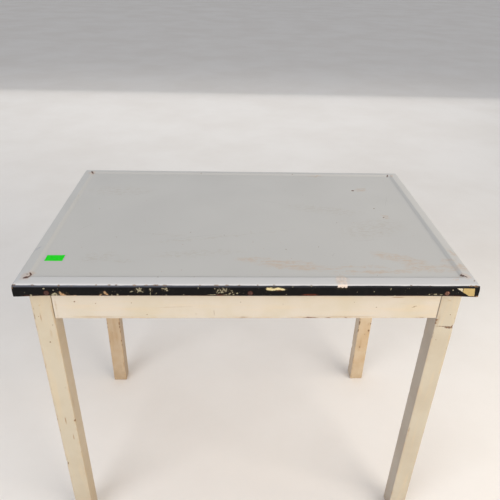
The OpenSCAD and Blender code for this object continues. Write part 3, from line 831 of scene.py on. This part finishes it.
def fill_panel(mesh, loop, flip, z):
    """Closes a loop from ring() with a grid of quads, so the panel can ripple."""
    per_corner = CORNER_STEPS + 1
    starts = [0]
    for count in SIDE_STEPS[:3]:
        starts.append(starts[-1] + per_corner + count - 1)
    sides = []
    for i, count in enumerate(SIDE_STEPS):
        first = starts[i] + per_corner - 1
        sides.append(list(range(first, first + count)) + [starts[(i + 1) % 4]])
    right = sides[0]
    front = sides[3]
    pull = 2.5 * MM
    still = 34 * MM
    fade = 50 * MM
    grid = []
    for row in range(SHORT_STEPS + 1):
        line = []
        for column in range(LONG_STEPS + 1):
            x = loop[front[column]].co.x
            y = loop[right[row]].co.y
            x -= math.copysign(pull, x) if column in (0, LONG_STEPS) else 0
            y -= math.copysign(pull, y) if row in (0, SHORT_STEPS) else 0
            share = min(1.0, (HALF_W - still - abs(x)) / fade, (HALF_D - still - abs(y)) / fade)
            line.append(mesh.verts.new(sheet_point((x, y, z), max(0.0, share))))
        grid.append(line)

    def face(corners):
        mesh.faces.new(corners if not flip else corners[::-1])

    for near, far in zip(grid, grid[1:]):
        for k in range(LONG_STEPS):
            face([near[k], near[k + 1], far[k + 1], far[k]])
    borders = [[line[-1] for line in grid], grid[-1][::-1], [line[0] for line in grid[::-1]], grid[0]]
    for side, border in zip(sides, borders):
        for k in range(len(side) - 1):
            face([loop[side[k]], loop[side[k + 1]], border[k + 1], border[k]])
    for start, border in zip(starts, borders):
        for k in range(CORNER_STEPS):
            face([loop[start + k], loop[start + k + 1], border[0]])


def enamel_sheet():
    """The pressing, as one closed skin of even thickness."""
    outer = sheet_face(0.0)
    inner = sheet_face(SHEET_T)
    mesh = bmesh.new()
    loops = []
    for face in (outer, inner[::-1]):
        for inset, z in face:
            if inset > RIM_W / 2:
                radius = 1.2 * MM
            else:
                radius = max(CORNER_R - inset, 0.9 * MM)
            loops.append([mesh.verts.new(sheet_point(p, 0.0)) for p in ring(inset, z, radius)])
    for step, (a, b) in enumerate(zip(loops, loops[1:])):
        for i in range(len(a)):
            j = (i + 1) % len(a)
            mesh.faces.new([a[i], b[i], b[j], a[j]]).material_index = int(step >= WHITE_STRIPS)
    fill_panel(mesh, loops[0], False, outer[0][1])
    fill_panel(mesh, loops[-1], True, inner[0][1])
    return smooth_object("enamel_sheet", mesh)


# ---- Painted timbers ----

ARRIS_STEPS = 3


def section(width, height, r, across):
    """Points round a rounded rectangle centred on zero, each with its nearness to an arris."""
    points = []
    for quarter, (sx, sy) in enumerate([(1, -1), (1, 1), (-1, 1), (-1, -1)]):
        middle = Vector((sx * (width / 2 - r), sy * (height / 2 - r)))
        start = -90 + 90 * quarter
        arc = []
        for i in range(ARRIS_STEPS + 1):
            angle = math.radians(start + 90 * i / ARRIS_STEPS)
            arc.append((middle + Vector((math.cos(angle), math.sin(angle))) * r, 1.0))
        points.append(arc)
    found = []
    for i, arc in enumerate(points):
        found.extend(arc)
        a, b = arc[-1][0], points[(i + 1) % 4][0][0]
        for k in range(1, across):
            share = k / across
            edge = max(0.0, 1.0 - min((b - a).length * share, (b - a).length * (1 - share)) / (4 * MM))
            found.append((a.lerp(b, share), edge))
    return found


def timber(name, low, high, axis, r, across, step, seed, dents=(), chamfer=0.0, knocks=1.0):
    """A bar with rounded, knocked-about long arrises. dents: (corner signs, place along, size)."""
    size = high - low
    middle = (low + high) / 2
    turn = {"X": (1, 2, 0), "Y": (2, 0, 1), "Z": (0, 1, 2)}[axis]
    width, height, length = size[turn[0]], size[turn[1]], size[turn[2]]
    outline = section(width, height, r, across)
    stations = [0.0]
    if chamfer:
        stations.append(chamfer)
    count = max(2, round(length / step))
    stations += [length * i / count for i in range(1, count)] + [length]
    mesh = bmesh.new()
    arris_layer = mesh.verts.layers.float.new("arris")
    dent_layer = mesh.verts.layers.float.new("dent")
    loops = []
    for place in stations:
        shrink = chamfer if chamfer and place == 0.0 else 0.0
        loop = []
        for point, edge in outline:
            u, v = point
            u -= math.copysign(min(shrink, abs(u)), u)
            v -= math.copysign(min(shrink, abs(v)), v)
            knock = wave(place * 70 + seed * 3, u * 60 + v * 45, seed)
            knock = edge * max(0.0, knock - 0.36) * 2.2 * MM * knocks
            dented = 0.0
            for corner, where, big in dents:
                from_arris = math.hypot(u - corner[0] * width / 2, v - corner[1] * height / 2)
                far = math.hypot((place - where) / (big * 1.6), from_arris / big)
                dented = max(dented, max(0.0, 1.0 - far))
            inward = knock + dented * 1.6 * MM
            u -= math.copysign(inward, u)
            v -= math.copysign(inward, v)
            bow = 0.15 * MM * wave(place * 4, seed * 1.7, seed)
            co = [0.0, 0.0, 0.0]
            co[turn[0]] = middle[turn[0]] + u + bow * (1 - edge)
            co[turn[1]] = middle[turn[1]] + v
            co[turn[2]] = low[turn[2]] + place
            vert = mesh.verts.new(co)
            vert[arris_layer] = edge
            vert[dent_layer] = min(1.0, dented * 1.4)
            loop.append(vert)
        loops.append(loop)
    for a, b in zip(loops, loops[1:]):
        for i in range(len(a)):
            j = (i + 1) % len(a)
            mesh.faces.new([a[i], a[j], b[j], b[i]])
    mesh.faces.new(loops[0][::-1])
    mesh.faces.new(loops[-1])
    bar = smooth_object(name, mesh)
    for polygon in bar.data.polygons:
        if len(polygon.vertices) > 4:
            polygon.use_smooth = False
    return bar


def sticker():
    """A blank green paper label, stuck flat with one corner starting to lift."""
    width = 36.5 * MM
    depth = 23 * MM
    thick = 0.12 * MM
    middle = Vector((-HALF_W + 54.2 * MM, -HALF_D + 98.5 * MM, PANEL_Z + 0.25 * MM))
    columns = 40
    rows = 26
    mesh = bmesh.new()
    arris_layer = mesh.verts.layers.float.new("arris")
    skins = []
    for level in (0.0, thick):
        skin = []
        for row in range(rows + 1):
            line = []
            for column in range(columns + 1):
                u, v = column / columns - 0.5, row / rows - 0.5
                lift = max(0.0, u + v - 0.80) ** 2 * 26 * MM
                crease = 0.06 * MM * (1 + wave(u * 9, v * 9, 8))
                corner = min(0.5 - abs(u), 0.5 - abs(v))
                vert = mesh.verts.new(middle + Vector((u * width, v * depth, level + lift + crease)))
                vert[arris_layer] = max(0.0, 1.0 - corner / 0.04)
                line.append(vert)
            skin.append(line)
        skins.append(skin)
    for level, skin in enumerate(skins):
        for near, far in zip(skin, skin[1:]):
            for k in range(columns):
                quad = [near[k], near[k + 1], far[k + 1], far[k]]
                mesh.faces.new(quad if level else quad[::-1])
    border = [(0, c) for c in range(columns)] + [(r, columns) for r in range(rows)]
    border += [(rows, c) for c in range(columns, 0, -1)] + [(r, 0) for r in range(rows, 0, -1)]
    for (r0, c0), (r1, c1) in zip(border, border[1:] + border[:1]):
        mesh.faces.new([skins[0][r0][c0], skins[0][r1][c1], skins[1][r1][c1], skins[1][r0][c0]])
    return smooth_object("blank_sticker", mesh)


# ---- Build ----

# Paint tone and its yellowed patches, piece by piece
PAINT = {
    "rail": (srgb(200, 189, 173), srgb(195, 183, 161)),
    "leg_front_left": (srgb(191, 179, 157), srgb(186, 172, 148)),
    "leg_front_right": (srgb(187, 176, 155), srgb(181, 168, 146)),
    "leg_back_left": (srgb(186, 164, 136), srgb(178, 150, 116)),
    "leg_back_right": (srgb(199, 179, 150), srgb(190, 162, 126)),
}


def dress(node_name, material, bevel=0.0):
    """Gives a CAD node its material and, for timber, slightly eased edges."""
    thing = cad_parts[node_name]
    thing.data.materials.clear()
    thing.data.materials.append(material)
    if bevel:
        weld = thing.modifiers.new("weld", "WELD")
        weld.merge_threshold = 0.01 * MM
        ease = thing.modifiers.new("ease", "BEVEL")
        ease.width = bevel
        ease.segments = 2
        ease.limit_method = "ANGLE"
        ease.angle_limit = math.radians(40)
        ease.use_clamp_overlap = True


def build_top():
    sheet = enamel_sheet()
    sheet.data.materials.append(enamel_top_material())
    sheet.data.materials.append(enamel_skirt_material())
    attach(sheet, "root")
    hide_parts("enamel_top")
    label = sticker()
    label.data.materials.append(sticker_paper())
    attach(label, "root")


# Knocks on the legs' arrises: (corner signs, height, size)
LEG_DENTS = {
    "leg_front_right": [((1, -1), 0.634, 0.005), ((-1, -1), 0.652, 0.004), ((-1, -1), 0.645, 0.0035)],
    "leg_back_right": [((-1, -1), 0.645, 0.006), ((1, -1), 0.625, 0.005), ((-1, -1), 0.585, 0.004)],
    "leg_back_left": [((1, -1), 0.646, 0.005), ((1, -1), 0.612, 0.004), ((1, -1), 0.576, 0.004)],
    "leg_front_left": [((1, -1), 0.36, 0.004), ((-1, -1), 0.21, 0.005)],
}
# Marks on the front faces: x and height below the top's edge, half sizes, angle
LEG_MARKS = {
    "leg_front_left": [(-417.5, -163, 1.6, 1.4, 0), (-430, -96, 0.9, 0.9, 0), (-405, -118, 0.8, 0.9, 0)],
    "leg_back_left": [(-399.6, -509, 2.0, 6, 0), (-399.4, -524, 1.7, 4, 0), (-399.0, -541, 1.2, 2.6, 0),
                      (-399.2, -582, 1.5, 3.4, 0), (-399.0, -600, 1.2, 3, 0), (-438.6, -508, 1.0, 3, 0),
                      (-438.6, -525, 1.0, 3, 0), (-438.8, -586, 1.1, 2.6, 0), (-425, -548, 0.9, 1.0, 0)],
    "leg_back_right": [(399.6, -508, 2.2, 8, 0), (399.4, -541, 1.3, 6, 0), (435, -541, 2.8, 4, 10),
                       (424, -556, 1.2, 1.8, 0), (414, -613, 2.2, 2.4, 0), (438.4, -512, 1.6, 3.4, 0)],
    "leg_front_right": [(420, -123.2, 19, 0.7, -2), (430, -126, 9, 2.6, -4), (437, -124, 3, 3.4, 0),
                        (426, -92, 0.9, 0.9, 0), (409, -160, 1.2, 0.9, 0)],
}
LEG_TANS = {
    "leg_front_left": [(-400, -92, 1.6, 26, 2), (-428, -70, 6, 1.2, 30), (-412, -140, 2, 8, 0)],
    "leg_front_right": [(411, -52, 8, 1.2, -30), (414, -56, 6, 0.9, 20), (404, -110, 2, 14, 0)],
    "leg_back_left": [(-420, -560, 12, 60, 0), (-408, -520, 4, 30, 0)],
    "leg_back_right": [(429, -578, 7, 26, 0), (432, -513, 4, 5, 0), (438, -510, 3, 4, 0),
                       (412, -600, 6, 22, 0)],
}
RAIL_MARKS = [
    (-352.5, -58.5, 1.3, 1.6, 20), (-311, -63, 1.0, 1.0, 0), (-239, -61.5, 0.9, 0.9, 0),
    (-209.8, -90.8, 1.0, 0.8, 0), (-72, -87, 0.4, 6, 3), (129, -99.6, 15, 0.9, 0), (124, -99, 3.5, 1.6, 0),
    (166, -99.8, 5, 0.8, 0), (204, -99.6, 2.4, 0.9, 0), (265, -73, 1.2, 0.8, 30), (217, -60, 1.0, 0.8, 0),
    (346, -70.5, 4.5, 0.4, 12), (343, -73, 3.0, 0.3, -10), (-18, -60, 0.8, 0.8, 0),
]
RAIL_TANS = [
    (-352, -60, 6, 0.8, -8), (-150, -72, 26, 0.6, 2), (300, -62, 22, 1.0, -4), (60, -92, 30, 0.8, 0),
    (-391, -74, 1.2, 24, 0), (-300, -97, 40, 1.6, 0), (180, -97, 60, 1.4, 0),
]

# Painted shade on the legs' faces that look in under the table: how much of it, and its colour
INNER_SHADE = {
    "leg_front_left": (0.5, srgb(158, 134, 98)),
    "leg_front_right": (0.55, srgb(146, 136, 130)),
    "leg_back_left": (0.7, srgb(152, 126, 92)),
    "leg_back_right": (0.25, srgb(178, 170, 164)),
}


def build_legs():
    for seed, name in enumerate(["leg_front_left", "leg_front_right", "leg_back_left", "leg_back_right"]):
        low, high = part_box(name)
        wear = 1.2 if "back" in name else 0.35
        material = cream_paint("cream_" + name, "Z", *PAINT[name], seed + 1, wear, low.y,
                               LEG_MARKS[name], LEG_TANS[name],
                               (high.x if "left" in name else low.x, *INNER_SHADE[name]))
        leg = timber(name + "_painted", low, high, "Z", 1.5 * MM, 7, 5 * MM, seed + 1,
                     LEG_DENTS[name], 1.5 * MM, wear)
        leg.data.materials.append(material)
        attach(leg, "root")
        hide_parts(name)


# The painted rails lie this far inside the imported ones, which cut their bores
RAIL_INSET = 0.16 * MM


def rail_body(name):
    """The part of a rail between its shoulders, and the axis that it runs along."""
    low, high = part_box(name)
    axis = 0 if name in ("rail_front", "rail_back") else 1
    open_line = 1.5 * MM if name == "rail_front" else 0.4 * MM
    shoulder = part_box("leg_front_left")[1][axis] + open_line
    for i in range(3):
        low[i] = shoulder if i == axis else low[i] + RAIL_INSET
        high[i] = -shoulder if i == axis else high[i] - RAIL_INSET
    return low, high, "XY"[axis]


def bore_like(piece, name):
    """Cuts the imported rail's pocket bores into the painted bar."""
    cut = piece.modifiers.new("bores", "BOOLEAN")
    cut.operation = "INTERSECT"
    cut.solver = "EXACT"
    cut.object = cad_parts[name]
    graph = bpy.context.evaluated_depsgraph_get()
    bored = bpy.data.meshes.new_from_object(piece.evaluated_get(graph))
    piece.modifiers.clear()
    piece.data = bored
    bored.name = piece.name


def build_rails():
    for seed, name in enumerate(["rail_front", "rail_right", "rail_back", "rail_left"]):
        low, high, axis = rail_body(name)
        front = name == "rail_front"
        material = cream_paint("cream_" + name, axis, *PAINT["rail"], seed + 11, 0.3 if front else 1.0,
                               low.y, RAIL_MARKS if front else (), RAIL_TANS if front else ())
        rail = timber(name + "_painted", low, high, axis, 0.9 * MM, 9, 6 * MM, seed + 11,
                      knocks=0.3 if front else 1.0)
        bore_like(rail, name)
        rail.data.materials.clear()
        rail.data.materials.append(material)
        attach(rail, "root")
        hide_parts(name)


def build_inner_wood():
    grain = {"core_board": "X", "batten_front": "X", "batten_back": "X", "batten_left": "Y",
             "batten_right": "Y", "centre_bearer": "Y"}
    for seed, (name, axis) in enumerate(grain.items()):
        dress(name, bare_wood("wood_" + name, axis, seed + 1), 0.4 * MM)
    for seed, name in enumerate(n for n in sorted(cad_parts) if n.startswith("corner_block")):
        dress(name, bare_wood("wood_" + name, "X", seed + 21), 0.6 * MM)


def build_screws():
    rusty = old_steel("rusted_screw", srgb(126, 88, 70), srgb(78, 40, 30), 1.0)
    dull = old_steel("dull_screw", srgb(120, 116, 110), srgb(110, 70, 48), 0.35)
    for name in sorted(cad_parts):
        if "screws" in name:
            dress(name, rusty if name.startswith("skirt") else dull)


# ---- Stage ----

# Fitted to the edges that the photograph shows; the angles are in radians
CAMERA_PLACE = Vector((-0.0455, -1.1365, EDGE_Z + 0.5594))
CAMERA_DOWN = 0.5214
CAMERA_TURN = -0.0507
CAMERA_ROLL = 0.0301
CAMERA_LENS = 37.23


def build_camera():
    data = bpy.data.cameras.new("camera")
    data.lens = CAMERA_LENS
    data.sensor_width = 36.0
    camera = add_object("camera", data)
    level = Vector((-math.sin(CAMERA_TURN), math.cos(CAMERA_TURN), 0))
    right = Vector((math.cos(CAMERA_TURN), math.sin(CAMERA_TURN), 0))
    forward = level * math.cos(CAMERA_DOWN) - Vector((0, 0, math.sin(CAMERA_DOWN)))
    up = level * math.sin(CAMERA_DOWN) + Vector((0, 0, math.cos(CAMERA_DOWN)))
    side = right * math.cos(CAMERA_ROLL) + up * math.sin(CAMERA_ROLL)
    head = up * math.cos(CAMERA_ROLL) - right * math.sin(CAMERA_ROLL)
    camera.matrix_world = Matrix((
        (side.x, head.x, -forward.x, CAMERA_PLACE.x),
        (side.y, head.y, -forward.y, CAMERA_PLACE.y),
        (side.z, head.z, -forward.z, CAMERA_PLACE.z),
        (0, 0, 0, 1),
    ))
    bpy.context.scene.camera = camera


def soft_light(name, place, target, size, power, color):
    data = bpy.data.lights.new(name, "AREA")
    data.shape = "RECTANGLE"
    data.size, data.size_y = size
    data.energy = power
    data.color = color
    lamp = add_object(name, data)
    lamp.location = place
    lamp.rotation_euler = (Vector(target) - Vector(place)).to_track_quat("-Z", "Y").to_euler()


def build_stage():
    mesh = bmesh.new()
    bmesh.ops.create_grid(mesh, x_segments=1, y_segments=1, size=30)
    data = bpy.data.meshes.new("floor")
    mesh.to_mesh(data)
    mesh.free()
    floor = add_object("floor", data)
    floor.data.materials.append(floor_material())
    world = bpy.data.worlds.new("studio")
    bpy.context.scene.world = world
    world.use_nodes = True
    sky = world.node_tree.nodes["Background"]
    sky.inputs["Color"].default_value = (0.93, 0.95, 1.0, 1.0)
    sky.inputs["Strength"].default_value = 0.5
    soft_light("key_left", (-2.2, -2.6, 2.0), (0, 0, 0.6), (2.4, 2.0), 66, (0.93, 0.96, 1.0))
    soft_light("key_right", (2.4, -2.2, 1.8), (0, 0, 0.6), (2.4, 2.0), 78, (1.0, 0.93, 0.84))
    soft_light("low_right", (2.2, -0.2, 1.25), (0, -0.1, 0.76), (1.0, 0.4), 11, (1.0, 0.91, 0.78))
    soft_light("back_wall", (0, 4.2, 1.6), (0, 0, 0.6), (7, 3), 26, (1.0, 0.98, 0.95))
    soft_light("behind", (0, 3.4, 2.8), (0, 3.4, 0), (6, 3), 9, (1.0, 0.99, 0.97))
    bpy.data.lights["behind"].spread = math.radians(70)
    bpy.context.scene.view_settings.view_transform = "Standard"


build_top()
build_legs()
build_rails()
build_inner_wood()
build_screws()
build_stage()
build_camera()
